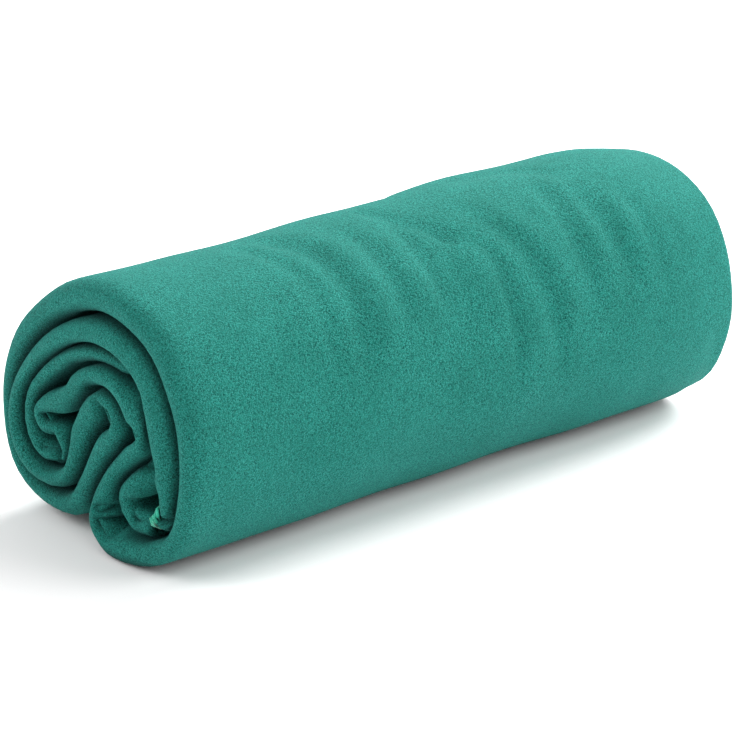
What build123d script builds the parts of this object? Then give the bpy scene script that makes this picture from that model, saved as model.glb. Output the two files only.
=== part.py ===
from build123d import *
import math
import os

# Quick dry towel: one microfibre sheet folded in thirds along its length,
# folded in half, and rolled up without a strap.
# Millimetres. The roll axis runs along Y, the roll rests on z = 0.

# ---- driving dimensions -------------------------------------------------
ROLL_LENGTH = 195.0        # a third of the 600 mm wide sheet, less the turns of its folds
STRIP_HALF = 3.6           # half the thickness of the folded strip (six layers)
GAP_SHARE = 0.95           # share of the free room that a wrap may fill
REST_FLAT = 0.9            # how far the underside is pressed flat
SAMPLE_STEP = 1.4          # spacing of the outline points along the strip
EDGING_THICK = 1.5         # thickness of one overlocked edge
END_STEP = 3.8             # depth of the step at the far end of the roll

# ---- centre line of the folded strip, seen from the near end (x, z) -----
# hemmed end, then the second wrap clockwise over the top to the lower left
HEM_WRAP = [
    (25.4, 19.0), (28.6, 18.0), (31.2, 20.4), (31.0, 25.6), (29.2, 31.8),
    (27.6, 38.5), (25.8, 45.0),
    (22.6, 51.0), (17.0, 55.2), (10.0, 57.8), (2.0, 58.3), (-6.5, 56.9),
    (-15.0, 53.3), (-23.0, 47.8), (-29.6, 40.8), (-33.8, 33.2), (-35.0, 25.8),
    (-32.8, 18.8), (-27.6, 14.0), (-20.6, 12.4), (-14.6, 14.2),
]
# loop of the core: up the left leg, over, and diagonally down
CORE_LOOP = [
    (-10.6, 19.0), (-8.0, 26.0), (-5.2, 33.0), (-1.4, 39.4), (3.6, 43.3),
    (8.6, 42.6), (11.2, 38.4), (8.8, 33.2), (4.3, 28.4), (0.0, 22.8),
    (-3.6, 16.6), (-7.4, 9.4),
]
# outer wrap: along the floor, up the left, over the top and down the right
OUTER_WRAP = [
    (-12.6, 4.8), (-20.0, 3.9), (-28.0, 6.0), (-35.0, 11.2), (-39.4, 18.8),
    (-41.2, 28.0), (-40.2, 37.0), (-36.4, 46.2), (-29.6, 54.6), (-20.0, 61.7),
    (-9.4, 66.3), (1.6, 68.2), (12.4, 67.4), (22.6, 64.0), (30.8, 58.0),
    (36.6, 49.6), (39.7, 40.0), (40.0, 30.0), (37.2, 20.4), (30.4, 11.4),
    (20.6, 5.2), (10.6, 3.8), (4.2, 6.2),
]
# lobe and the leg beside the loop, then back over the loop to the left
SECOND_LEG = [
    (2.6, 12.4), (5.2, 19.2), (9.2, 25.0), (14.2, 29.8), (18.2, 34.4),
    (17.7, 40.4), (14.2, 45.6), (8.8, 49.0), (2.2, 49.4), (-3.9, 46.4),
    (-9.2, 41.6), (-15.2, 37.4), (-20.6, 34.4),
]
# short hairpin at the left, third wrap, and the folded end at the right
INNER_WRAP = [
    (-21.4, 30.6), (-16.6, 28.6), (-13.4, 24.8), (-14.8, 20.6), (-20.0, 19.6),
    (-25.4, 22.4), (-27.8, 28.6), (-26.6, 35.6), (-22.4, 41.6), (-16.2, 47.2),
    (-8.6, 51.4), (0.4, 53.4), (9.4, 53.2), (16.6, 50.4), (21.2, 44.6),
    (22.6, 37.6), (20.8, 30.6), (15.6, 24.6), (12.4, 18.8), (15.0, 13.2),
    (21.2, 11.8),
]


def strip_samples():
    """Even samples of the centre line: position and left-hand normal."""
    route = Spline(*(HEM_WRAP + CORE_LOOP + OUTER_WRAP + SECOND_LEG + INNER_WRAP))
    count = int(route.length / SAMPLE_STEP)
    samples = []
    for i in range(count + 1):
        spot = route @ (i / count)
        along = route % (i / count)
        samples.append((spot.X, spot.Y, -along.Y, along.X))
    return samples, route.length


def room_beside(samples, index, side):
    """Largest half thickness that keeps clear of the neighbouring wraps."""
    x, z, nx, nz = samples[index]
    room = STRIP_HALF
    for other_index, other in enumerate(samples):
        if other_index == index:
            continue
        dx = other[0] - x
        dz = other[1] - z
        ahead = side * (dx * nx + dz * nz)
        if ahead > 0.05:
            room = min(room, GAP_SHARE * (dx * dx + dz * dz) / (2 * ahead))
    return room


def side_widths(samples, side):
    """Half thickness along one side of the strip, smoothed."""
    raw = [room_beside(samples, i, side) for i in range(len(samples))]
    lowest = [min(raw[max(0, i - 1):i + 2]) for i in range(len(raw))]
    smooth = []
    for i in range(len(lowest)):
        near = lowest[max(0, i - 1):i + 2]
        smooth.append(sum(near) / len(near))
    return smooth


def offset_points(samples, widths, share):
    """Points offset from the centre line by a share of the side width."""
    points = []
    for (x, z, nx, nz), width in zip(samples, widths):
        points.append((x + nx * width * share, z + nz * width * share))
    return points


def band_profile(edge_a, edge_b):
    """Closed face between two edges that run side by side."""
    first = Spline(*edge_a)
    second = Spline(*edge_b)
    start_cap = Line(edge_a[0], edge_b[0])
    end_cap = Line(edge_a[-1], edge_b[-1])
    return make_face([first, end_cap, second, start_cap])


def along_roll(profile, y_from, y_to):
    """Extrude a cross-section drawn in x and z between two stations of Y."""
    upright = Plane(origin=(0, y_to, 0), x_dir=(1, 0, 0), z_dir=(0, -1, 0))
    return extrude(upright * profile, y_to - y_from)


samples, route_length = strip_samples()
left_widths = side_widths(samples, 1)
right_widths = [-w for w in side_widths(samples, -1)]

near_y = -ROLL_LENGTH / 2
far_y = ROLL_LENGTH / 2

left_edge = offset_points(samples, left_widths, 1.0)
right_edge = offset_points(samples, right_widths, 1.0)
right_mid = offset_points(samples, right_widths, 0.25)
right_inner = offset_points(samples, right_widths, 0.30)
right_outer = offset_points(samples, right_widths, 0.92)

full_profile = band_profile(left_edge, right_edge)
fold_profile = band_profile(left_edge, right_mid)
edging_profile = band_profile(right_inner, right_outer)

# ---- cloth: full strip, with the folded-over layers only at the far end --
cloth = along_roll(full_profile, near_y, far_y - END_STEP)
cloth = cloth + along_roll(fold_profile, far_y - END_STEP, far_y)

# ---- long thread edging on the step at the far end -----------------------
long_edging = along_roll(edging_profile, far_y - END_STEP, far_y - 0.3)

# ---- underside pressed flat on the floor, roll centred on the Y axis ------
above_floor = Box(200, ROLL_LENGTH + 20, 100, align=(Align.CENTER, Align.CENTER, Align.MIN))
above_floor = Pos(0, 0, REST_FLAT) * above_floor
cloth_box = cloth.bounding_box()
settle = Pos(-(cloth_box.min.X + cloth_box.max.X) / 2, 0, -REST_FLAT)
cloth = settle * (cloth & above_floor)
long_edging = settle * (long_edging & above_floor)

# ---- the two short thread edgings on the hemmed end of the strip ---------
x, z, nx, nz = samples[0]
strip_left = left_widths[0]
strip_right = right_widths[0]


def short_edging(share_from, share_to):
    """Bar of thread along one of the two short edges."""
    near_side = strip_left * share_from
    far_side = strip_left * share_to
    back_x = nz * -EDGING_THICK
    back_z = nx * EDGING_THICK
    corner_a = (x + nx * near_side, z + nz * near_side)
    corner_b = (x + nx * far_side, z + nz * far_side)
    corner_c = (corner_b[0] + back_x, corner_b[1] + back_z)
    corner_d = (corner_a[0] + back_x, corner_a[1] + back_z)
    bar = along_roll(make_face(Polyline(corner_a, corner_b, corner_c, corner_d, close=True)),
                     near_y + 1.0, far_y - END_STEP)
    return settle * bar


short_edging_a = short_edging(0.08, 0.90)
short_edging_b = short_edging(-0.90, -0.08)

os.makedirs("parts", exist_ok=True)
export_step(cloth, "parts/towel_cloth.step")
export_step(long_edging, "parts/long_edge_thread.step")
export_step(short_edging_a, "parts/short_edge_thread_a.step")
export_step(short_edging_b, "parts/short_edge_thread_b.step")
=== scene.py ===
import math

import bpy
import numpy as np
from mathutils import Matrix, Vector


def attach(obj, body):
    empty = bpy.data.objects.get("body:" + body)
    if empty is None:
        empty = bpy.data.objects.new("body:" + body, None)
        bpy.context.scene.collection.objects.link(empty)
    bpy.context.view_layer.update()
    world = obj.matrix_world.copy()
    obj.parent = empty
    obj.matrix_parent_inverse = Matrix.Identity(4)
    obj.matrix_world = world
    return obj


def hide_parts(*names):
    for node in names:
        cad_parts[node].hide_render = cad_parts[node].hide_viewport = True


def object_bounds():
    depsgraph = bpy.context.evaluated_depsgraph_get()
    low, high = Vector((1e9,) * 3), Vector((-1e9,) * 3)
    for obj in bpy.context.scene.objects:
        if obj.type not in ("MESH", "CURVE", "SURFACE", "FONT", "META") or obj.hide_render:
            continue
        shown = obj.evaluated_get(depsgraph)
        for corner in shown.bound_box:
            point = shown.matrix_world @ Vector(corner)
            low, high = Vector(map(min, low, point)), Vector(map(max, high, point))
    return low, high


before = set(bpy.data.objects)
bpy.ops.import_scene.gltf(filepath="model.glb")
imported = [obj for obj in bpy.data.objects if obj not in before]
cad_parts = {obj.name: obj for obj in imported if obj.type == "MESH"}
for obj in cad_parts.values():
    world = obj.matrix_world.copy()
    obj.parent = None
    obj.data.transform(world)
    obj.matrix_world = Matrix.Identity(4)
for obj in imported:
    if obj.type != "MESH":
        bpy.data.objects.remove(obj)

cad_low, cad_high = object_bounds()

# A microfibre towel, folded in thirds across and in half along its length into a
# strip of six layers, and rolled up. The roll lies along Y. Its near end, at -Y,
# shows the rounded folds, and its far end shows one long edge with its thread.
# Lengths are in millimetres, and turn into metres where a mesh or the camera is
# made. The floor, the lights and the materials are in metres.
MM = 0.001

# ---- the rolled strip ------------------------------------------------------
HALF_LENGTH = round(cad_high[1] / MM, 1)      # from the middle of the roll to its ends
DEEP_HALF = 3.6          # half thickness of the pressed strip, at most
PUFF_HALF = 4.9          # and of the near folds, where the route gives no other limit
FIT = 0.955              # share of the free room that a pressed wrap takes
FOLD_FIT = 0.89          # and the share that a swollen near fold takes
NOSE_DEPTH = 1.2         # how deep the rounding of a near fold is, in half thicknesses
FOLD_CENTRE = 0.34       # middle of the far fold, as a share of the half thickness
CENTRE_X, SETTLE_Z = 0.49, -0.9          # move the route to the roll's place in the frame

# A span is where an effect is nil and where it is full. These are depths in from the near end.
PUFF_SPAN = (31.0, 5.0)        # swelling of the folds
BRIM_SPAN = (12.0, 4.0)        # swelling over a neighbour that stands back
GROOVE_SPAN = (12.0, 3.0)      # puckers and pits
UNEVEN_SPAN = (8.0, 38.0)      # unevenness of the outer wrap

# Centre line of the strip seen from the near end: x, z, and how far the fold
# there stands back from the near end of the roll. Where the folds there leave a
# hollow, or a wrap is fuller, two more values limit the half thickness on the left
# and on the right.
FULL = PUFF_HALF
# hemmed end, then the second wrap over the top to the lower left
HEM_WRAP = [
    (24.8, 18.0, 0.8), (27.8, 16.4, 0.8, FULL, 3.6), (30.5, 18.4, 0.3, FULL, 4.4),
    (30.1, 25.2, 0.0, 7.0, 5.4), (28.7, 31.8, 0.0, 7.0, FULL), (27.4, 38.5, 0.0, 6.0, FULL),
    (25.8, 45.0, 0.0, FULL, 5.6), (22.6, 51.4, 0.0, FULL, 6.2), (17.0, 56.0, 0.0, FULL, 6.2),
    (10.0, 58.6, 0.0, FULL, 6.0), (2.0, 59.0, 0.0, FULL, 6.0), (-6.5, 57.2, 0.0, FULL, 5.4),
    (-15.0, 53.0, 0.0), (-22.8, 47.2, 0.0), (-29.2, 40.2, 0.0), (-33.4, 33.0, 0.0),
    (-34.8, 25.8, 0.0), (-32.6, 18.8, 0.0), (-27.6, 14.2, 0.0), (-20.6, 12.6, 0.0),
    (-14.8, 14.2, 0.0),
]
# loop of the core: up the left leg, over, and diagonally down
CORE_LOOP = [
    (-10.6, 19.0, 0.0), (-8.0, 26.0, 0.0), (-5.4, 32.6, 0.0, FULL, 6.0), (-1.8, 38.6, 0.0, FULL, 5.4),
    (3.0, 42.2, 0.0, FULL, 4.2), (7.6, 41.4, 0.0, FULL, 2.6), (9.6, 37.8, 0.0, 3.6, 2.6),
    (7.8, 33.0, 0.0, FULL, 4.4), (4.0, 28.4, 0.0), (0.0, 22.8, 0.0), (-4.4, 16.6, 0.3),
    (-8.8, 9.4, 0.8, 3.6, FULL),
]
# outer wrap: along the floor, up the left, over the top and down the right
OUTER_WRAP = [
    (-13.4, 4.8, 1.5, 3.6, FULL), (-20.4, 3.9, 2.0, 3.4, FULL), (-28.0, 6.0, 2.4, 3.4, FULL),
    (-35.0, 11.2, 2.4, 3.4, FULL), (-39.2, 18.8, 2.4, 3.4, FULL), (-40.6, 28.0, 2.4, 3.4, FULL),
    (-39.2, 36.6, 2.0, 3.6, FULL), (-35.0, 45.4, 1.6, 3.8, FULL), (-28.4, 53.4, 1.0, 4.0, FULL),
    (-19.4, 60.8, 0.6, 4.2, FULL), (-9.2, 66.8, 0.2, 4.2, FULL), (1.6, 69.8, 0.0, 4.2, FULL),
    (12.4, 69.6, 0.0, 4.2, FULL), (22.8, 66.2, 0.0, 4.2, FULL), (31.2, 59.8, 0.0, 4.2, FULL),
    (36.9, 50.4, 0.0, 4.0, FULL), (39.6, 40.6, 0.0, 4.0, FULL), (40.0, 31.2, 0.0, 4.0, 3.8),
    (37.4, 21.8, 0.0, 3.7, 3.2), (31.4, 12.3, 0.0, 3.6, 3.4), (21.4, 6.2, -0.4, 3.6, 3.4),
    (10.0, 4.0, -0.8, 4.0, 3.8), (1.8, 6.4, -0.8),
]
# lobe and the leg beside the loop, then back over the loop to the left
SECOND_LEG = [
    (1.8, 12.8, -0.5), (4.8, 19.4, 0.1), (9.0, 25.0, 0.4), (14.0, 30.0, 0.4, 4.0, FULL),
    (18.2, 35.0, 0.4, 1.4, FULL), (17.0, 40.8, 0.3, 3.2, FULL), (13.8, 45.6, 0.2), (8.8, 48.6, 0.0),
    (2.4, 49.0, 0.0), (-3.8, 46.2, 0.0), (-9.4, 41.2, 0.2, 4.2, FULL), (-15.8, 36.9, 0.4, 4.0, 4.2),
    (-21.0, 34.6, 0.8),
]
# short hairpin at the left, third wrap, and the folded end at the right
INNER_WRAP = [
    (-24.0, 31.4, 1.0), (-22.4, 28.4, 1.1), (-18.0, 27.2, 1.2, FULL, 3.0),
    (-14.8, 24.2, 1.2, FULL, 3.6), (-15.8, 20.6, 1.2, FULL, 3.4), (-20.4, 19.0, 1.2, FULL, 2.6),
    (-26.2, 22.0, 1.2, FULL, 2.8), (-28.8, 28.8, 1.2, FULL, 3.0), (-27.0, 36.6, 1.2),
    (-21.8, 42.8, 1.2, FULL, 3.0), (-15.4, 48.0, 1.2, FULL, 2.6), (-8.4, 51.9, 1.4, FULL, 3.0),
    (0.4, 53.8, 1.8), (9.4, 53.4, 2.4), (16.6, 50.6, 4.4), (21.2, 44.6, 9.5), (22.4, 37.2, 8.5),
    (20.0, 28.8, 5.0), (14.8, 23.6, 1.6), (11.2, 18.0, 1.4), (14.2, 12.8, 1.8, 3.4, FULL),
    (20.6, 12.4, 2.6, 3.2, FULL),
]
ROUTE = HEM_WRAP + CORE_LOOP + OUTER_WRAP + SECOND_LEG + INNER_WRAP
OUTER_STARTS, OUTER_ENDS = (226.0, 238.0), (455.0, 443.0)      # the outer wrap's spans along the strip

# Soft grooves pressed into the folds at the near end: half width, depth, points (x, z).
GROOVES = [
    # puckers of the lobe and of the folded end inside it
    (0.9, 4.0, [(2.6, 12.0), (5.4, 13.6), (8.8, 15.2)]),
    (0.9, 3.8, [(2.8, 8.2), (6.0, 9.9), (8.8, 11.6)]),
    (1.8, 4.5, [(6.6, 8.0), (10.2, 10.4)]),
    (1.0, 4.0, [(15.4, 17.2), (20.0, 18.8)]),
    (1.6, 4.5, [(19.5, 19.2), (23.5, 21.8), (26.0, 23.6)]),
    (1.0, 3.4, [(16.0, 14.0), (19.7, 15.8), (24.6, 18.8)]),
    # a pucker inside the short hairpin, and a slit in the hemmed end
    (1.0, 2.6, [(-23.4, 21.6), (-20.4, 22.8)]),
    (0.8, 3.0, [(28.2, 18.4), (30.0, 17.9), (32.2, 18.9)]),
    # pits where several folds meet
    (1.5, 6.0, [(14.2, 36.8), (16.8, 37.4)]),
    (1.6, 6.0, [(5.0, 39.4), (6.8, 38.8), (4.6, 36.2)]),
    (1.7, 6.0, [(-19.0, 25.0), (-18.4, 24.0), (-17.4, 22.6)]),
    (1.3, 5.0, [(-17.6, 40.8), (-12.6, 43.4)]),
    (1.5, 6.0, [(15.4, 49.8), (20.4, 48.0)]),
    (1.0, 4.0, [(-1.8, 43.8), (0.4, 45.0)]),
    (1.5, 5.0, [(19.6, 29.4), (24.6, 32.6)]),
    (1.3, 4.0, [(23.4, 11.8), (28.2, 14.0)]),
    # finer wrinkles
    (0.7, 1.0, [(-11.6, 8.0), (-10.8, 12.8), (-9.4, 16.8)]),
    (0.9, 1.6, [(-25.5, 15.0), (-19.0, 17.4), (-13.0, 18.0)]),
    (0.9, 1.6, [(-17.6, 23.0), (-16.4, 19.6), (-16.0, 17.4)]),
    (0.8, 1.6, [(2.6, 42.2), (5.4, 41.0), (7.4, 40.4)]),
]

# Soft creases of the outer wrap: half width, height, points (along the strip, along the roll).
CREASE_GAIN = 1.35       # overall strength of the creases
UNEVEN = 0.22            # height of the slow unevenness between them
CREASES = [
    # top and right side
    (3.0, -0.9, [(338, -43), (347, -38), (360, -36), (377, -39)]),
    (2.8, 0.5, [(343, -32), (358, -29), (374, -31)]),
    (2.0, -0.6, [(340, -51), (356, -46), (377, -48)]),
    (2.4, -0.65, [(347, -22), (371, -22)]),
    (2.6, 0.35, [(350, -16), (371, -15)]),
    (2.0, -0.8, [(337, -9), (346, -6), (356, 2)]),
    (1.7, -0.8, [(348, -8), (358, -10), (370, -9)]),
    (1.9, -0.8, [(355, 1), (361, 12), (373, 12), (392, 11)]),
    (3.2, -0.8, [(354, 15), (364, 22), (378, 25), (394, 27)]),
    (3.0, 0.45, [(358, 25), (368, 30), (383, 32)]),
    (2.6, -0.8, [(352, 42), (364, 40), (379, 42)]),
    (3.0, 0.45, [(352, 48), (367, 48)]),
    (3.4, -0.8, [(357, 50), (368, 53), (377, 57)]),
    (3.0, 0.45, [(358, 60), (371, 61)]),
    (2.2, -0.4, [(360, 65), (380, 67)]),
    (4.6, -0.5, [(363, -3), (377, -4)]),
    (2.2, -0.5, [(335, 24), (336, 40), (345, 52)]),
    (3.0, -0.35, [(361, -58), (369, -64)]),
    (4.0, -0.5, [(402, 91), (424, 93)]),
    (5.0, -0.35, [(399, 63), (410, 66)]),
    (5.0, -0.35, [(391, -79), (400, -62)]),
    # left side, up to the top
    (3.0, -0.7, [(322, 8), (306, 12), (286, 10)]),
    (2.6, -0.6, [(318, -34), (298, -30), (276, -33)]),
    (3.4, -0.6, [(314, 48), (292, 52), (270, 49)]),
    (2.4, -0.5, [(300, -58), (282, -55)]),
    (3.0, -0.5, [(280, 74), (262, 70)]),
    (3.2, 0.4, [(312, -20), (288, -19)]),
]

# Overall shape of the roll, in millimetres and in shares of x or z.
NEAR_SPAN = (64.0, 4.0)                           # the near end's own shape, by depth
DRAWN_OUT, DRAWN_X = 1.3, (0.0, -36.0)            # its left side stands out by this
SUNK, SUNK_X = 0.022, (10.0, -40.0)               # and is lower by this share
BELLY, BELLY_Y, BELLY_REACH = 0.027, 42.0, 45.0   # the roll is higher round this y
BELLY_SPAN = (-75.0, -15.0)
BELLY_NARROWS = 0.2                               # and narrower by this part of that
RIM, RIM_Y = 0.068, (66.0, 98.0)                  # drawn in towards the far end
RIM_CENTRE_Z = 26.0                               # about this height
SLACK, SLACK_X, SLACK_Z = 1.6, (8.0, 32.0), (34.0, 8.0)        # the lower right side sinks in
SLACK_DEPTH, SLACK_Y = (20.0, 80.0), (90.0, 35.0)              # between the two ends
FAR_WIDER, FAR_HIGHER = 0.01, 0.015               # growth towards the far end
FAR_SHIFT, FAR_SHIFT_Y = 1.0, (-60.0, 90.0)       # and shift to the left
LIFT, LIFT_SPAN = 3.4, (44.0, 4.0)                # the near end's lower left is clear of the floor
LIFT_X, LIFT_REACH = -13.0, 17.0
LIFT_RIGHT, LIFT_Z = (8.0, 2.0), (26.0, 0.0)
FLOOR_PRESS, FLOOR_ZONE = 2.6, 6.0                # how sharply, and below what height, the floor flattens it


# ---- curves ------------------------------------------------------------------
CURVE_STEPS = 24         # steps between two points of the route
SAMPLE = 0.8             # spacing of the even samples
NO_LIMIT = 1e9           # larger than any distance in the roll
TINY = 1e-9              # keeps a length from being nil
AHEAD_LEAST = 0.02       # a spot that is less than this in front of a side doesn't limit it
# slow variation: how many waves, the first one's rate, how much each adds, and their rough sum
WAVES, WAVE_RATE, WAVE_MORE, WAVE_SUM = 6, 0.6, 0.45, 2.4
SOFTEN_RECESS, SOFTEN_CAP, SOFTEN_HALF = 4, 3, 2         # samples on each side of a running mean


def smooth_route(points, spacing):
    """Centripetal Catmull-Rom curve through the points, sampled evenly."""
    rows = np.array([q + (FULL, FULL)[len(q) - 3:] for q in points], float)
    rows = np.vstack([2 * rows[0] - rows[1], rows, 2 * rows[-1] - rows[-2]])
    dense = []
    for i in range(1, len(rows) - 2):
        a, b, c, d = rows[i - 1:i + 3]
        t0 = 0.0
        t1 = t0 + math.sqrt(np.linalg.norm((b - a)[:2]))
        t2 = t1 + math.sqrt(np.linalg.norm((c - b)[:2]))
        t3 = t2 + math.sqrt(np.linalg.norm((d - c)[:2]))
        t = np.linspace(t1, t2, CURVE_STEPS, endpoint=False)[:, None]
        ab = ((t1 - t) * a + (t - t0) * b) / (t1 - t0)
        bc = ((t2 - t) * b + (t - t1) * c) / (t2 - t1)
        cd = ((t3 - t) * c + (t - t2) * d) / (t3 - t2)
        abc = ((t2 - t) * ab + (t - t0) * bc) / (t2 - t0)
        bcd = ((t3 - t) * bc + (t - t1) * cd) / (t3 - t1)
        dense.append(((t2 - t) * abc + (t - t1) * bcd) / (t2 - t1))
    dense = np.vstack(dense + [rows[-2:-1]])
    run = run_length(dense[:, :2])
    s = np.linspace(0, run[-1], int(run[-1] / spacing) + 1)
    return s, np.stack([np.interp(s, run, column) for column in dense.T], 1)


def run_length(points):
    """Length from the first point to each point."""
    return np.r_[0, np.cumsum(np.linalg.norm(np.diff(points, axis=0), axis=1))]


def running_mean(values, reach):
    """Mean over each value and its neighbours up to reach away."""
    padded = np.pad(values, reach, mode="edge")
    kernel = np.ones(2 * reach + 1) / (2 * reach + 1)
    return np.convolve(padded, kernel, mode="valid")


def unit_rows(v):
    """Each row scaled to length one."""
    return v / np.linalg.norm(v, axis=1)[:, None]


def share(value, span):
    """Even rise from 0 to 1 over the span."""
    start, stop = span
    return np.clip((value - start) / (stop - start), 0, 1)


def ramp(value, span):
    """Smooth rise from 0 to 1 over the span."""
    x = share(value, span)
    return x * x * (3 - 2 * x)


def distance_to_run(px, pz, points):
    """Distance of each spot from a run of straight pieces."""
    best = np.full(px.shape, NO_LIMIT)
    for (ax, az), (bx, bz) in zip(points[:-1], points[1:]):
        dx, dz = bx - ax, bz - az
        t = np.clip(((px - ax) * dx + (pz - az) * dz) / (dx * dx + dz * dz), 0, 1)
        best = np.minimum(best, np.hypot(px - ax - t * dx, pz - az - t * dz))
    return best


def medial_half(side, cap, fit, free=0.0):
    """Half thickness on one side of the strip that keeps clear of every other wrap.

    side is 1 for the left and -1 for the right, cap is the most it may be, fit is the
    share of the free room that it takes, and free is further room, as a share.
    """
    gap = centre[None] - centre[:, None]
    ahead = side * (gap * normal[:, None]).sum(2)
    room = fit * (gap ** 2).sum(2) / (2 * np.maximum(ahead, AHEAD_LEAST))
    room = np.where(ahead > AHEAD_LEAST, room, NO_LIMIT) * (1 + free)
    half = np.minimum(room.min(1), cap)
    reach = SOFTEN_HALF
    low = np.minimum.reduce([np.roll(half, k) for k in range(-reach, reach + 1)])
    low[:reach] = half[:reach]
    low[-reach:] = half[-reach:]
    return running_mean(low, reach)


def wander(s, seed, scale, size):
    """Slow irregular variation along the strip: a sum of waves, each shorter than the last."""
    rng = np.random.default_rng(seed)
    total = np.zeros_like(s)
    for k in range(WAVES):
        phase = rng.uniform(0, 6.28)
        height = rng.uniform(0.5, 1)
        total += np.sin(s / scale * (WAVE_RATE + WAVE_MORE * k) + phase) * height
    return total * size / WAVE_SUM


# ---- the strip's centre line and thickness -----------------------------------
route_s, route = smooth_route(ROUTE, SAMPLE)
LENGTH = route_s[-1]
centre = route[:, :2]
tangent = unit_rows(np.gradient(centre, axis=0))
normal = np.c_[-tangent[:, 1], tangent[:, 0]]
recess = running_mean(route[:, 2], SOFTEN_RECESS)
cap_left, cap_right = running_mean(route[:, 3], SOFTEN_CAP), running_mean(route[:, 4], SOFTEN_CAP)
nose_wave = wander(route_s, seed=3, scale=11.0, size=0.35)

deep_left = medial_half(1, DEEP_HALF, FIT)
deep_right = medial_half(-1, DEEP_HALF, FIT)
puff_left = medial_half(1, cap_left, FOLD_FIT)
puff_right = medial_half(-1, cap_right, FOLD_FIT)
# a wrap may swell over a neighbour that stands well back from the near end
STANDS_BACK, MOST_BACK, SWELL_OVER = 3.5, 4.0, 0.25
behind = SWELL_OVER * np.clip(recess[None] - recess[:, None] - STANDS_BACK, 0, MOST_BACK)
swell_left = medial_half(1, cap_left, FOLD_FIT, behind) - puff_left
swell_right = medial_half(-1, cap_right, FOLD_FIT, behind) - puff_right


def along(values, s):
    """A quantity of the strip at s."""
    return np.interp(s, route_s, values)


# ---- from a spot of the folded strip to a place in the roll ---------------------
NOSE_GAP = 0.35          # the near folds' noses stay this far inside the roll's end
FAR_GAP = 0.6            # and the far folds' noses this far
FAR_NOSE = 1 - FOLD_CENTRE         # radius of a far fold's outside, as a share of the half thickness


def place(s, q, y_from_near, y_from_far, v):
    """Position of a spot of the folded strip.

    s is the place along the strip, q the place across its thickness (-1 to 1),
    v runs from the near fold's centre (0) to the far fold's centre (1), and
    the two y values are how far beyond those centres the spot lies, in half
    thicknesses.
    """
    s, q, near, far, v = np.broadcast_arrays(s, q, y_from_near, y_from_far, v)
    s_in = np.clip(s, 0, LENGTH)
    half_near = 0.5 * (along(puff_left, s_in) + along(puff_right, s_in)) * NOSE_DEPTH
    half_far = 0.5 * (along(deep_left, s_in) + along(deep_right, s_in))
    y_near = -HALF_LENGTH + along(recess, s_in) + along(nose_wave, s_in) + NOSE_GAP + half_near
    y_far = HALF_LENGTH - FAR_NOSE * half_far - FAR_GAP
    y = y_near + v * (y_far - y_near) - near * half_near + far * half_far
    depth = y + HALF_LENGTH
    puff, brim = ramp(depth, PUFF_SPAN), ramp(depth, BRIM_SPAN)

    def half_at(deep, puffed, swell):
        return along(deep, s_in) * (1 - puff) + along(puffed, s_in) * puff + along(swell, s_in) * brim

    left = half_at(deep_left, puff_left, swell_left)
    right = half_at(deep_right, puff_right, swell_right)
    offset = np.where(q > 0, q * left, q * right)
    offset = offset + creases(s_in, y) * 0.5 * (1 + q)
    nx, nz = along(normal[:, 0], s_in), along(normal[:, 1], s_in)
    x = along(centre[:, 0], s_in) + nx * offset + nz * (s - s_in)
    z = along(centre[:, 1], s_in) + nz * offset - nx * (s - s_in)
    y = y + grooves(x, z) * ramp(depth, GROOVE_SPAN)
    return shape_roll(x, y, z)


def grooves(x, z):
    """How far the near folds are pressed in at each spot."""
    total = np.zeros_like(x)
    for width, depth, points in GROOVES:
        total += depth * np.exp(-(distance_to_run(x, z, points) / width) ** 2)
    return total


def creases(s, y):
    """Creases and slow unevenness of the outer wrap: offset along the normal."""
    # waves of different lengths along the strip and along the roll, so that none repeats soon
    ripple = np.sin(s / 9.0 + 0.04 * y + 1.0) * np.sin(y / 13.0 + 0.5) + np.sin(y / 7.5 + s / 31.0)
    total = UNEVEN * ripple * ramp(y + HALF_LENGTH, UNEVEN_SPAN)
    for width, height, points in CREASES:
        total = total + CREASE_GAIN * height * np.exp(-(distance_to_run(s, y, points) / width) ** 2)
    return total * ramp(s, OUTER_STARTS) * ramp(s, OUTER_ENDS)


def shape_roll(x, y, z):
    """Settles the roll on the floor and adds its overall bend, belly and taper."""
    x = x + CENTRE_X
    z = z + SETTLE_Z
    depth = y + HALF_LENGTH
    far = ramp(y, (-HALF_LENGTH, HALF_LENGTH))
    near = ramp(depth, NEAR_SPAN)
    x = x - DRAWN_OUT * near * ramp(x, DRAWN_X)
    z = z * (1 - SUNK * near * ramp(x, SUNK_X))
    belly = BELLY * np.exp(-((y - BELLY_Y) / BELLY_REACH) ** 2) * ramp(y, BELLY_SPAN)
    rim = RIM * share(y, RIM_Y) ** 2
    slack = ramp(depth, SLACK_DEPTH) * ramp(y, SLACK_Y)
    x = x - SLACK * slack * ramp(x, SLACK_X) * ramp(z, SLACK_Z)
    x = x * (1 + FAR_WIDER * far - BELLY_NARROWS * belly) * (1 - rim) - FAR_SHIFT * ramp(y, FAR_SHIFT_Y)
    z = z * (1 + FAR_HIGHER * far + belly)
    z = RIM_CENTRE_Z + (z - RIM_CENTRE_Z) * (1 - rim)
    low_left = np.exp(-((x - LIFT_X) / LIFT_REACH) ** 2) * ramp(z, LIFT_Z) * ramp(x, LIFT_RIGHT)
    z = z + LIFT * ramp(depth, LIFT_SPAN) * low_left
    pressed = np.log1p(np.exp(FLOOR_PRESS * np.minimum(z, FLOOR_ZONE))) / FLOOR_PRESS
    return np.stack([x, y, np.where(z > FLOOR_ZONE, z, pressed)], -1)


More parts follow.
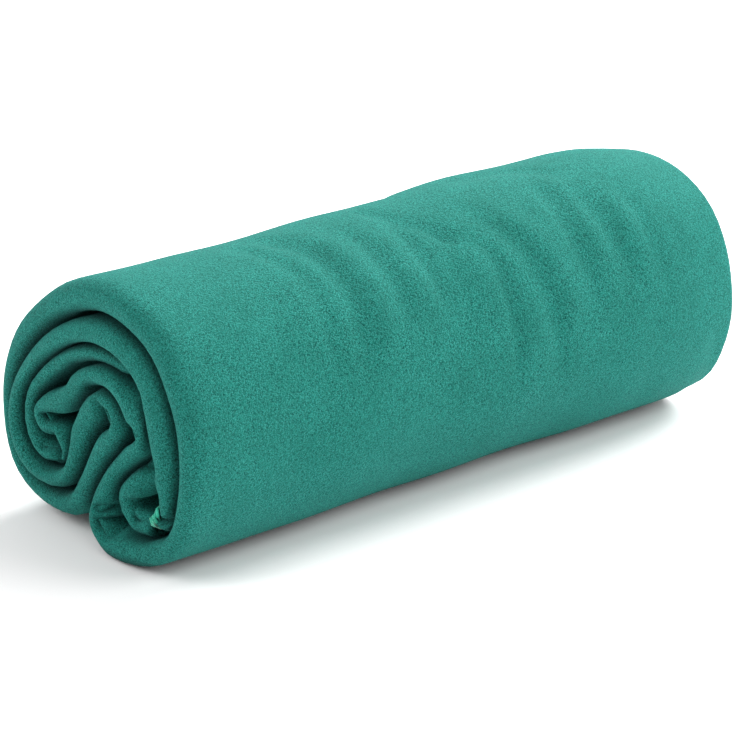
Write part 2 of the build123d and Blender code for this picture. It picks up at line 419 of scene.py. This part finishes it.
# ---- columns and rows of the sheet --------------------------------------------
# Each layer's columns as shares of the way from near fold to far fold, closer near the folds.
LONG_EDGE = 0.985        # the open long edge lies here, near the far end
EDGE_LAYER = (LONG_EDGE, 0.97, 0.95, 0.92, 0.86, 0.76, 0.6, 0.44, 0.3, 0.2, 0.13, 0.08, 0.045, 0.02)
TUCKED_LAYER = (0.97, 0.9, 0.75, 0.55, 0.35, 0.18, 0.09, 0.03)
# steps round a near fold, along the outer layer, and round a far fold
NEAR_STEPS, OUTER_STEPS, FAR_STEPS = 14, 72, 8

ROW_STEP = 3.8           # spacing of rows along the strip
ROW_STEP_FINE = 1.3      # where the near folds are small
ROW_STEP_PUCKER = 0.75   # and where they are puckered
ROW_STEP_INNER = 10.5    # in the inner sheet, which is hidden
ROW_GRID = 20001         # points at which the spacing is looked up
FINE_PARTS = [(0, 16), (158, 200), (446, 520), (526, 570), (642, LENGTH)]
PUCKER_PARTS = [(0, 13), (442, 474), (532, 566), (666, LENGTH)]

OUT_FACE, IN_FACE = 1.0, 0.70          # the outer sheet's two faces, as radii in the folds
MID_IN, MID_OUT = 0.66, 0.36           # the inner sheet's two faces
END_FOLD = 0.68                        # middle of the fold that joins the two sheets
END_WIDE, END_TIGHT = 0.32, 0.02       # radii of its outside and inside
END_STEPS = 6


def columns():
    """For each column: its turn in a fold, whether that is the near fold, its way to the far fold."""
    cols = [(math.pi, True, v) for v in EDGE_LAYER]
    cols += [(math.pi * (1 - k / NEAR_STEPS), True, 0.0) for k in range(NEAR_STEPS + 1)]
    cols += [(0.0, True, k / OUTER_STEPS) for k in range(1, OUTER_STEPS)]
    cols += [(math.pi * k / FAR_STEPS, False, 1.0) for k in range(FAR_STEPS + 1)]
    cols += [(math.pi, False, v) for v in TUCKED_LAYER]
    return [np.array(values) for values in zip(*cols)]


TURN, IS_NEAR, ACROSS = columns()


def spots(s, radius, col):
    """Points of the folded sheet at the given columns and radius in the folds."""
    turn, near = TURN[col], IS_NEAR[col]
    far_radius = radius - FOLD_CENTRE
    q = np.where(near, radius * np.cos(turn), FOLD_CENTRE + far_radius * np.cos(turn))
    y_near = np.where(near, radius * np.sin(turn), 0.0)
    y_far = np.where(near, 0.0, np.abs(far_radius) * np.sin(turn))
    return place(s, q, y_near, y_far, ACROSS[col])


def sheet_rows(s, radius):
    """Rows of points across the sheet, one for each s."""
    s, radius = np.asarray(s, float)[:, None], np.asarray(radius, float)[:, None]
    return spots(s, radius, np.arange(len(TURN))[None])


def outer_rows():
    """Places of the outer sheet's rows, closer together where the near folds need it."""
    dense = np.linspace(0, LENGTH, ROW_GRID)
    step = np.full_like(dense, ROW_STEP)
    for parts, spacing in ((FINE_PARTS, ROW_STEP_FINE), (PUCKER_PARTS, ROW_STEP_PUCKER)):
        for start, stop in parts:
            step[(dense >= start) & (dense <= stop)] = spacing
    count = np.r_[0, np.cumsum(np.diff(dense) / step[1:])]
    return np.interp(np.linspace(0, count[-1], int(count[-1]) + 1), count, dense)


def sheet_points():
    """Both faces of the sheet: outer half, crosswise fold, inner half."""
    outer = outer_rows()
    turn = math.pi * np.arange(1, END_STEPS) / END_STEPS
    inner = np.linspace(LENGTH, 0, int(LENGTH / ROW_STEP_INNER) + 1)

    def face(outer_radius, fold_radius, fold_reach, inner_radius):
        s = np.r_[outer, LENGTH + fold_reach * np.sin(turn), inner]
        in_fold = END_FOLD + fold_radius * np.cos(turn)
        radius = np.r_[np.full_like(outer, outer_radius), in_fold, np.full_like(inner, inner_radius)]
        return sheet_rows(s, radius)

    outside = face(OUT_FACE, END_WIDE, END_WIDE * DEEP_HALF, MID_OUT)
    inside = face(IN_FACE, END_TIGHT, END_TIGHT, MID_IN)
    return outside, inside


# ---- meshes --------------------------------------------------------------------
def new_object(name, verts, faces, smooth=True):
    """A mesh object in the scene from points in metres."""
    mesh = bpy.data.meshes.new(name)
    mesh.from_pydata(verts, [], faces)
    mesh.polygons.foreach_set("use_smooth", [smooth] * len(mesh.polygons))
    mesh.update()
    obj = bpy.data.objects.new(name, mesh)
    bpy.context.collection.objects.link(obj)
    return obj


def towel_sheet():
    """The cloth: two faces of a folded sheet, closed all round its edge."""
    a, b = sheet_points()
    rows, cols, _ = a.shape
    count = rows * cols
    faces = []
    for i in range(rows - 1):
        for j in range(cols - 1):
            p = i * cols + j
            faces.append((p, p + 1, p + cols + 1, p + cols))
            faces.append((count + p, count + p + cols, count + p + cols + 1, count + p + 1))
    for i in range(rows - 1):
        first = i * cols
        last = first + cols - 1
        faces.append((first, first + cols, count + first + cols, count + first))
        faces.append((count + last, count + last + cols, last + cols, last))
    for j in range(cols - 1):
        first = j
        last = (rows - 1) * cols + j
        faces.append((count + first, count + first + 1, first + 1, first))
        faces.append((last, last + 1, count + last + 1, count + last))
    verts = np.vstack([a.reshape(-1, 3), b.reshape(-1, 3)]) * MM
    return new_object("towel_sheet", verts.tolist(), faces)


TUBE_SIDEWAYS = np.array([0.31, 0.22, 0.92])      # the tubes' sections are turned from this direction


def tube(points, radius, sides):
    """Verts and faces of a tube along a run of points."""
    t = unit_rows(np.gradient(points, axis=0) + TINY)
    u = unit_rows(np.cross(t, TUBE_SIDEWAYS) + TINY)
    w = np.cross(t, u)
    angle = np.arange(sides) * 2 * math.pi / sides
    ring = np.cos(angle)[None, :, None] * u[:, None] + np.sin(angle)[None, :, None] * w[:, None]
    verts = (points[:, None] + ring * radius).reshape(-1, 3)
    faces = []
    for i in range(len(points) - 1):
        for k in range(sides):
            n = (k + 1) % sides
            faces.append((i * sides + k, i * sides + n, (i + 1) * sides + n, (i + 1) * sides + k))
    faces.append(tuple(range(sides))[::-1])
    faces.append(tuple((len(points) - 1) * sides + k for k in range(sides)))
    return verts, faces


def thread_object(name, runs, sides):
    """One object with a tube of thread along each run."""
    verts, faces, base = [], [], 0
    for run in runs:
        v, f = tube(run, THREAD_RADIUS, sides)
        verts.append(v)
        faces += [tuple(i + base for i in face) for face in f]
        base += len(v)
    return new_object(name, (np.vstack(verts) * MM).tolist(), faces)


# ---- overlocked thread edgings ---------------------------------------------------
STITCH = 0.95            # stitch pitch
BITE = 3.3               # how far the stitches reach in from the edge
THREAD_RADIUS = 0.42
BITE_SPREAD = (0.86, 1.06)       # shares of the bite, at random
LIFT_SPREAD = (-0.1, 0.16)       # added to how far a stitch stands proud, at random
FOLD_TO_FOLD = 2 * HALF_LENGTH - 6.0     # about how far apart the near and far folds' centres are


def overlock(edge, face_a, face_b, length, seed):
    """Zigzag of thread over an edge: edge(t, lift), face_a(t, depth, lift), face_b(t, depth, lift)."""
    rng = np.random.default_rng(seed)
    count = int(length / STITCH)
    step = 1.0 / count
    t = (np.arange(count) + 0.5) * step
    bite = BITE * rng.uniform(*BITE_SPREAD, count)
    lift = rng.uniform(*LIFT_SPREAD, count)
    # one stitch: up the first face, over the edge, down the second face, and back over
    run = [
        face_a(t - 0.25 * step, bite, 0.15 + lift),
        face_a(t - 0.18 * step, 0.5 * bite, 0.42 + lift),
        face_a(t - 0.10 * step, 0.05, 0.34),
        edge(t, 0.45 + lift),
        face_b(t + 0.06 * step, 0.05, 0.34),
        face_b(t + 0.12 * step, 0.5 * bite, 0.42),
        face_b(t + 0.25 * step, bite, 0.15),
        face_b(t + 0.38 * step, 0.5 * bite, 0.36),
        edge(t + 0.5 * step, 0.30),
        face_a(t + 0.62 * step, 0.5 * bite, 0.36),
    ]
    return np.stack(run, 1).reshape(-1, 3)


def long_edge(q_outer, q_inner, seed):
    """Overlock over one half of the long edge that lies at the far end."""
    def spot(t, q, depth, lift):
        s = np.clip(t, 0, 1) * LENGTH
        half = np.maximum(along(deep_right, s), 1.0)
        # lift is across the cloth, depth is inwards from the edge
        return place(s, q - lift / half, 0.0, 0.0, LONG_EDGE - depth / FOLD_TO_FOLD)

    def edge(t, lift):
        return spot(t, 0.5 * (q_outer + q_inner), -lift, 0.0)

    def face_a(t, depth, lift):
        return spot(t, q_outer, depth, 0.6 * lift)

    def face_b(t, depth, lift):
        return spot(t, q_inner, depth, -0.3 * lift)

    return overlock(edge, face_a, face_b, LENGTH, seed)


def short_edge(radius_a, radius_b, seed):
    """Overlock over one short edge, which runs across the sheet at s = 0."""
    middle = 0.5 * (radius_a + radius_b)
    run = run_length(sheet_rows([0.0], [middle])[0])
    outwards = 1 if radius_a > radius_b else -1

    def on_row(t, radius, s):
        where = np.interp(np.clip(t, 0, 1) * run[-1], run, np.arange(len(TURN)))
        col = np.minimum(where.astype(int), len(TURN) - 2)
        part = (where - col)[:, None]
        return (1 - part) * spots(s, radius, col) + part * spots(s, radius, col + 1)

    def edge(t, lift):
        return on_row(t, middle, -lift)

    def face_a(t, depth, lift):
        return on_row(t, radius_a + outwards * 0.6 * lift / DEEP_HALF, depth)

    def face_b(t, depth, lift):
        return on_row(t, radius_b - outwards * 0.2 * lift / DEEP_HALF, depth)

    return overlock(edge, face_a, face_b, run[-1], seed)


# ---- materials -----------------------------------------------------------------
def new_material(name):
    """A material with one Principled shader: the material, its node tree and the shader."""
    mat = bpy.data.materials.new(name)
    mat.use_nodes = True
    tree = mat.node_tree
    tree.nodes.clear()
    out = tree.nodes.new("ShaderNodeOutputMaterial")
    bsdf = tree.nodes.new("ShaderNodeBsdfPrincipled")
    tree.links.new(bsdf.outputs[0], out.inputs[0])
    return mat, tree, bsdf


def noise(tree, vector, scale, detail, rough, distortion=0.0):
    """Value of a noise texture."""
    n = tree.nodes.new("ShaderNodeTexNoise")
    n.inputs["Scale"].default_value = scale
    n.inputs["Detail"].default_value = detail
    n.inputs["Roughness"].default_value = rough
    n.inputs["Distortion"].default_value = distortion
    tree.links.new(vector, n.inputs["Vector"])
    return n.outputs["Fac"]


def set_or_link(tree, socket, value):
    """Sets a socket to a constant, or links it to another node's output."""
    if isinstance(value, (tuple, float, int)):
        socket.default_value = value
    else:
        tree.links.new(value, socket)


def maths(tree, kind, a, b):
    """Result of a sum, product or power of two values."""
    n = tree.nodes.new("ShaderNodeMath")
    n.operation = kind
    set_or_link(tree, n.inputs[0], a)
    set_or_link(tree, n.inputs[1], b)
    return n.outputs[0]


def mix_colour(tree, fac, a, b):
    """Colour between a and b."""
    n = tree.nodes.new("ShaderNodeMix")
    n.data_type = "RGBA"
    set_or_link(tree, n.inputs[0], fac)
    set_or_link(tree, n.inputs[6], a)
    set_or_link(tree, n.inputs[7], b)
    return n.outputs[2]


def map_range(tree, value, low, high, to_low, to_high):
    """The value, moved from one range to another."""
    n = tree.nodes.new("ShaderNodeMapRange")
    tree.links.new(value, n.inputs[0])
    for k, v in enumerate((low, high, to_low, to_high)):
        n.inputs[k + 1].default_value = v
    return n.outputs[0]


def bump(tree, height, strength, distance):
    """Normal of a surface with small relief."""
    n = tree.nodes.new("ShaderNodeBump")
    n.inputs["Strength"].default_value = strength
    n.inputs["Distance"].default_value = distance
    tree.links.new(height, n.inputs["Height"])
    return n.outputs[0]


PILE_DEEP, PILE_FACE = (0.0006, 0.040, 0.030, 1), (0.0070, 0.150, 0.119, 1)
PILE_TIP = (0.040, 0.30, 0.255, 1)
PILE_BRUSHED_DOWN, PILE_BRUSHED_UP = (0.004, 0.085, 0.064, 1), (0.015, 0.17, 0.14, 1)
# near black colour of the painted shade in creases
PILE_PAINTED_SHADE = (0.0003, 0.012, 0.010, 1)
PILE_SHEEN = (0.2, 1.0, 0.93, 1)


def pile_material():
    """Short brushed microfibre pile: grain, brushed patches, sheen, and painted shade in its creases."""
    mat, tree, bsdf = new_material("brushed microfibre")
    coord = tree.nodes.new("ShaderNodeTexCoord").outputs["Object"]
    stretch = tree.nodes.new("ShaderNodeMapping")
    stretch.inputs["Rotation"].default_value = (0.25, 0.1, 0.35)
    stretch.inputs["Scale"].default_value = (1.0, 0.72, 1.0)
    tree.links.new(coord, stretch.inputs["Vector"])
    grain = noise(tree, coord, 3600.0, 1.0, 0.5)
    tuft = noise(tree, stretch.outputs[0], 2100.0, 2.0, 0.55)
    patch = noise(tree, coord, 90.0, 3.0, 0.6, 0.4)
    broad = noise(tree, coord, 16.0, 2.0, 0.5)
    base = mix_colour(tree, map_range(tree, tuft, 0.36, 0.64, 0.0, 1.0), PILE_DEEP, PILE_FACE)
    base = mix_colour(tree, map_range(tree, grain, 0.44, 0.66, 0.0, 0.7), base, PILE_TIP)
    base = mix_colour(tree, map_range(tree, patch, 0.4, 0.7, 0.0, 0.3), base, PILE_BRUSHED_DOWN)
    base = mix_colour(tree, map_range(tree, broad, 0.4, 0.7, 0.0, 0.2), base, PILE_BRUSHED_UP)
    # painted shade: ambient occlusion darkens the pile's colour towards near black in creases and hollows
    # between folds
    crease_shade = tree.nodes.new("ShaderNodeAmbientOcclusion")
    crease_shade.samples = 6
    crease_shade.inputs["Distance"].default_value = 0.0045
    base = mix_colour(tree, maths(tree, "POWER", crease_shade.outputs["AO"], 1.5), PILE_PAINTED_SHADE, base)
    tree.links.new(base, bsdf.inputs["Base Color"])
    tree.links.new(map_range(tree, tuft, 0.3, 0.7, 0.95, 0.82), bsdf.inputs["Roughness"])
    bsdf.inputs["Specular IOR Level"].default_value = 0.1
    bsdf.inputs["Sheen Weight"].default_value = 0.13
    bsdf.inputs["Sheen Roughness"].default_value = 0.45
    bsdf.inputs["Sheen Tint"].default_value = PILE_SHEEN
    height = maths(tree, "ADD", maths(tree, "MULTIPLY", tuft, 0.65), maths(tree, "MULTIPLY", grain, 0.35))
    tree.links.new(bump(tree, height, 0.75, 0.0009), bsdf.inputs["Normal"])
    return mat


THREAD_DARK, THREAD_LIGHT = (0.003, 0.25, 0.15, 1), (0.010, 0.40, 0.26, 1)
THREAD_FIBRE = (0.05, 0.52, 0.37, 1)


def thread_material():
    """Bright textured overlock thread."""
    mat, tree, bsdf = new_material("overlock thread")
    coord = tree.nodes.new("ShaderNodeTexCoord").outputs["Object"]
    fibre = noise(tree, coord, 2600.0, 2.0, 0.6)
    tone = noise(tree, coord, 300.0, 2.0, 0.5)
    base = mix_colour(tree, map_range(tree, tone, 0.35, 0.65, 0.0, 1.0), THREAD_DARK, THREAD_LIGHT)
    base = mix_colour(tree, map_range(tree, fibre, 0.5, 0.75, 0.0, 0.5), base, THREAD_FIBRE)
    tree.links.new(base, bsdf.inputs["Base Color"])
    tree.links.new(map_range(tree, fibre, 0.3, 0.7, 0.55, 0.75), bsdf.inputs["Roughness"])
    bsdf.inputs["Sheen Weight"].default_value = 0.25
    bsdf.inputs["Sheen Roughness"].default_value = 0.4
    tree.links.new(bump(tree, fibre, 0.6, 0.0003), bsdf.inputs["Normal"])
    return mat


def floor_material():
    """Plain pale studio floor."""
    mat, _, bsdf = new_material("studio floor")
    bsdf.inputs["Base Color"].default_value = (0.93, 0.93, 0.932, 1)
    bsdf.inputs["Roughness"].default_value = 0.9
    bsdf.inputs["Specular IOR Level"].default_value = 0.1
    return mat


# ---- the pieces ------------------------------------------------------------------
cloth = towel_sheet()
cloth.data.materials.append(pile_material())

long_thread = thread_object("long_edge_overlock", [
    long_edge(-OUT_FACE, -IN_FACE, 11),
    long_edge(-MID_OUT, -MID_IN, 12),
], 5)
short_thread_a = thread_object("short_edge_overlock_outer", [short_edge(OUT_FACE, IN_FACE, 13)], 6)
short_thread_b = thread_object("short_edge_overlock_inner", [short_edge(MID_OUT, MID_IN, 14)], 6)
yarn = thread_material()
for thread in (long_thread, short_thread_a, short_thread_b):
    thread.data.materials.append(yarn)

# ---- floor and lights, in metres ---------------------------------------------------
FLOOR_HALF = 4
corners = [(-FLOOR_HALF, -FLOOR_HALF, 0), (FLOOR_HALF, -FLOOR_HALF, 0)]
corners += [(FLOOR_HALF, FLOOR_HALF, 0), (-FLOOR_HALF, FLOOR_HALF, 0)]
floor = new_object("floor", corners, [(0, 1, 2, 3)], smooth=False)
floor.data.materials.append(floor_material())

world = bpy.data.worlds.new("studio")
bpy.context.scene.world = world
world.use_nodes = True
sky = world.node_tree.nodes["Background"]
sky.inputs["Color"].default_value = (1.0, 0.985, 0.99, 1)
sky.inputs["Strength"].default_value = 0.8

LIGHT_AIM = np.array([0.0, 0.0, 0.03])
LIGHTS = [          # name, place, watts, size
    ("key", (-0.55, 0.7, 0.85), 13.5, 0.6),
    ("rear", (0.1, 1.0, 0.8), 16.0, 0.6),
    ("fill", (0.95, 0.5, 0.75), 8.0, 0.7),
    ("front", (-0.35, -1.0, 0.9), 6.5, 0.8),
]


def soft_light(name, stand, power, size):
    """A round area light that faces the roll."""
    light = bpy.data.lights.new(name, "AREA")
    light.energy = power
    light.shape = "DISK"
    light.size = size
    obj = bpy.data.objects.new(name, light)
    obj.location = stand
    x, y, z = LIGHT_AIM - np.array(stand)
    obj.rotation_euler = (math.atan2(math.hypot(x, y), -z), 0, math.atan2(-x, y))
    bpy.context.collection.objects.link(obj)


for name, stand, power, size in LIGHTS:
    soft_light(name, stand, power, size)

# ---- camera, in millimetres ----------------------------------------------------------
AZIMUTH, ELEVATION = math.radians(50.0), math.radians(20.2)
SENSOR, LENS = 36.0, 146.739
PIVOT = np.array([-3.21, 2.5, -3.1])
DISTANCE, ASIDE, ABOVE = 834.0, -3.2, 26.3       # of the eye from the pivot


def new_camera():
    """A long lens, a little above the roll, that sees its near end and its right side."""
    level = math.cos(ELEVATION)
    back = np.array([math.sin(AZIMUTH) * level, -math.cos(AZIMUTH) * level, math.sin(ELEVATION)])
    right = np.array([math.cos(AZIMUTH), math.sin(AZIMUTH), 0.0])
    up = np.cross(back, right)
    eye = (ASIDE * right + ABOVE * up + DISTANCE * back + PIVOT) * MM
    camera = bpy.data.cameras.new("camera")
    camera.sensor_width = SENSOR
    camera.lens = LENS
    camera.clip_start = 0.01
    obj = bpy.data.objects.new("camera", camera)
    axes = [(right[k], up[k], back[k], eye[k]) for k in range(3)]
    obj.matrix_world = Matrix(axes + [(0, 0, 0, 1)])
    bpy.context.collection.objects.link(obj)
    return obj


bpy.context.scene.camera = new_camera()
bpy.context.scene.view_settings.view_transform = "Standard"

# ---- what each piece is ----------------------------------------------------------
PIECES = [
    (cloth, "towel_cloth", "cloth"),
    (long_thread, "long_edge_thread", "edge_thread"),
    (short_thread_a, "short_edge_thread_a", "edge_thread"),
    (short_thread_b, "short_edge_thread_b", "edge_thread"),
]
for piece, node, slot in PIECES:
    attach(piece, "root")
    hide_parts(node)
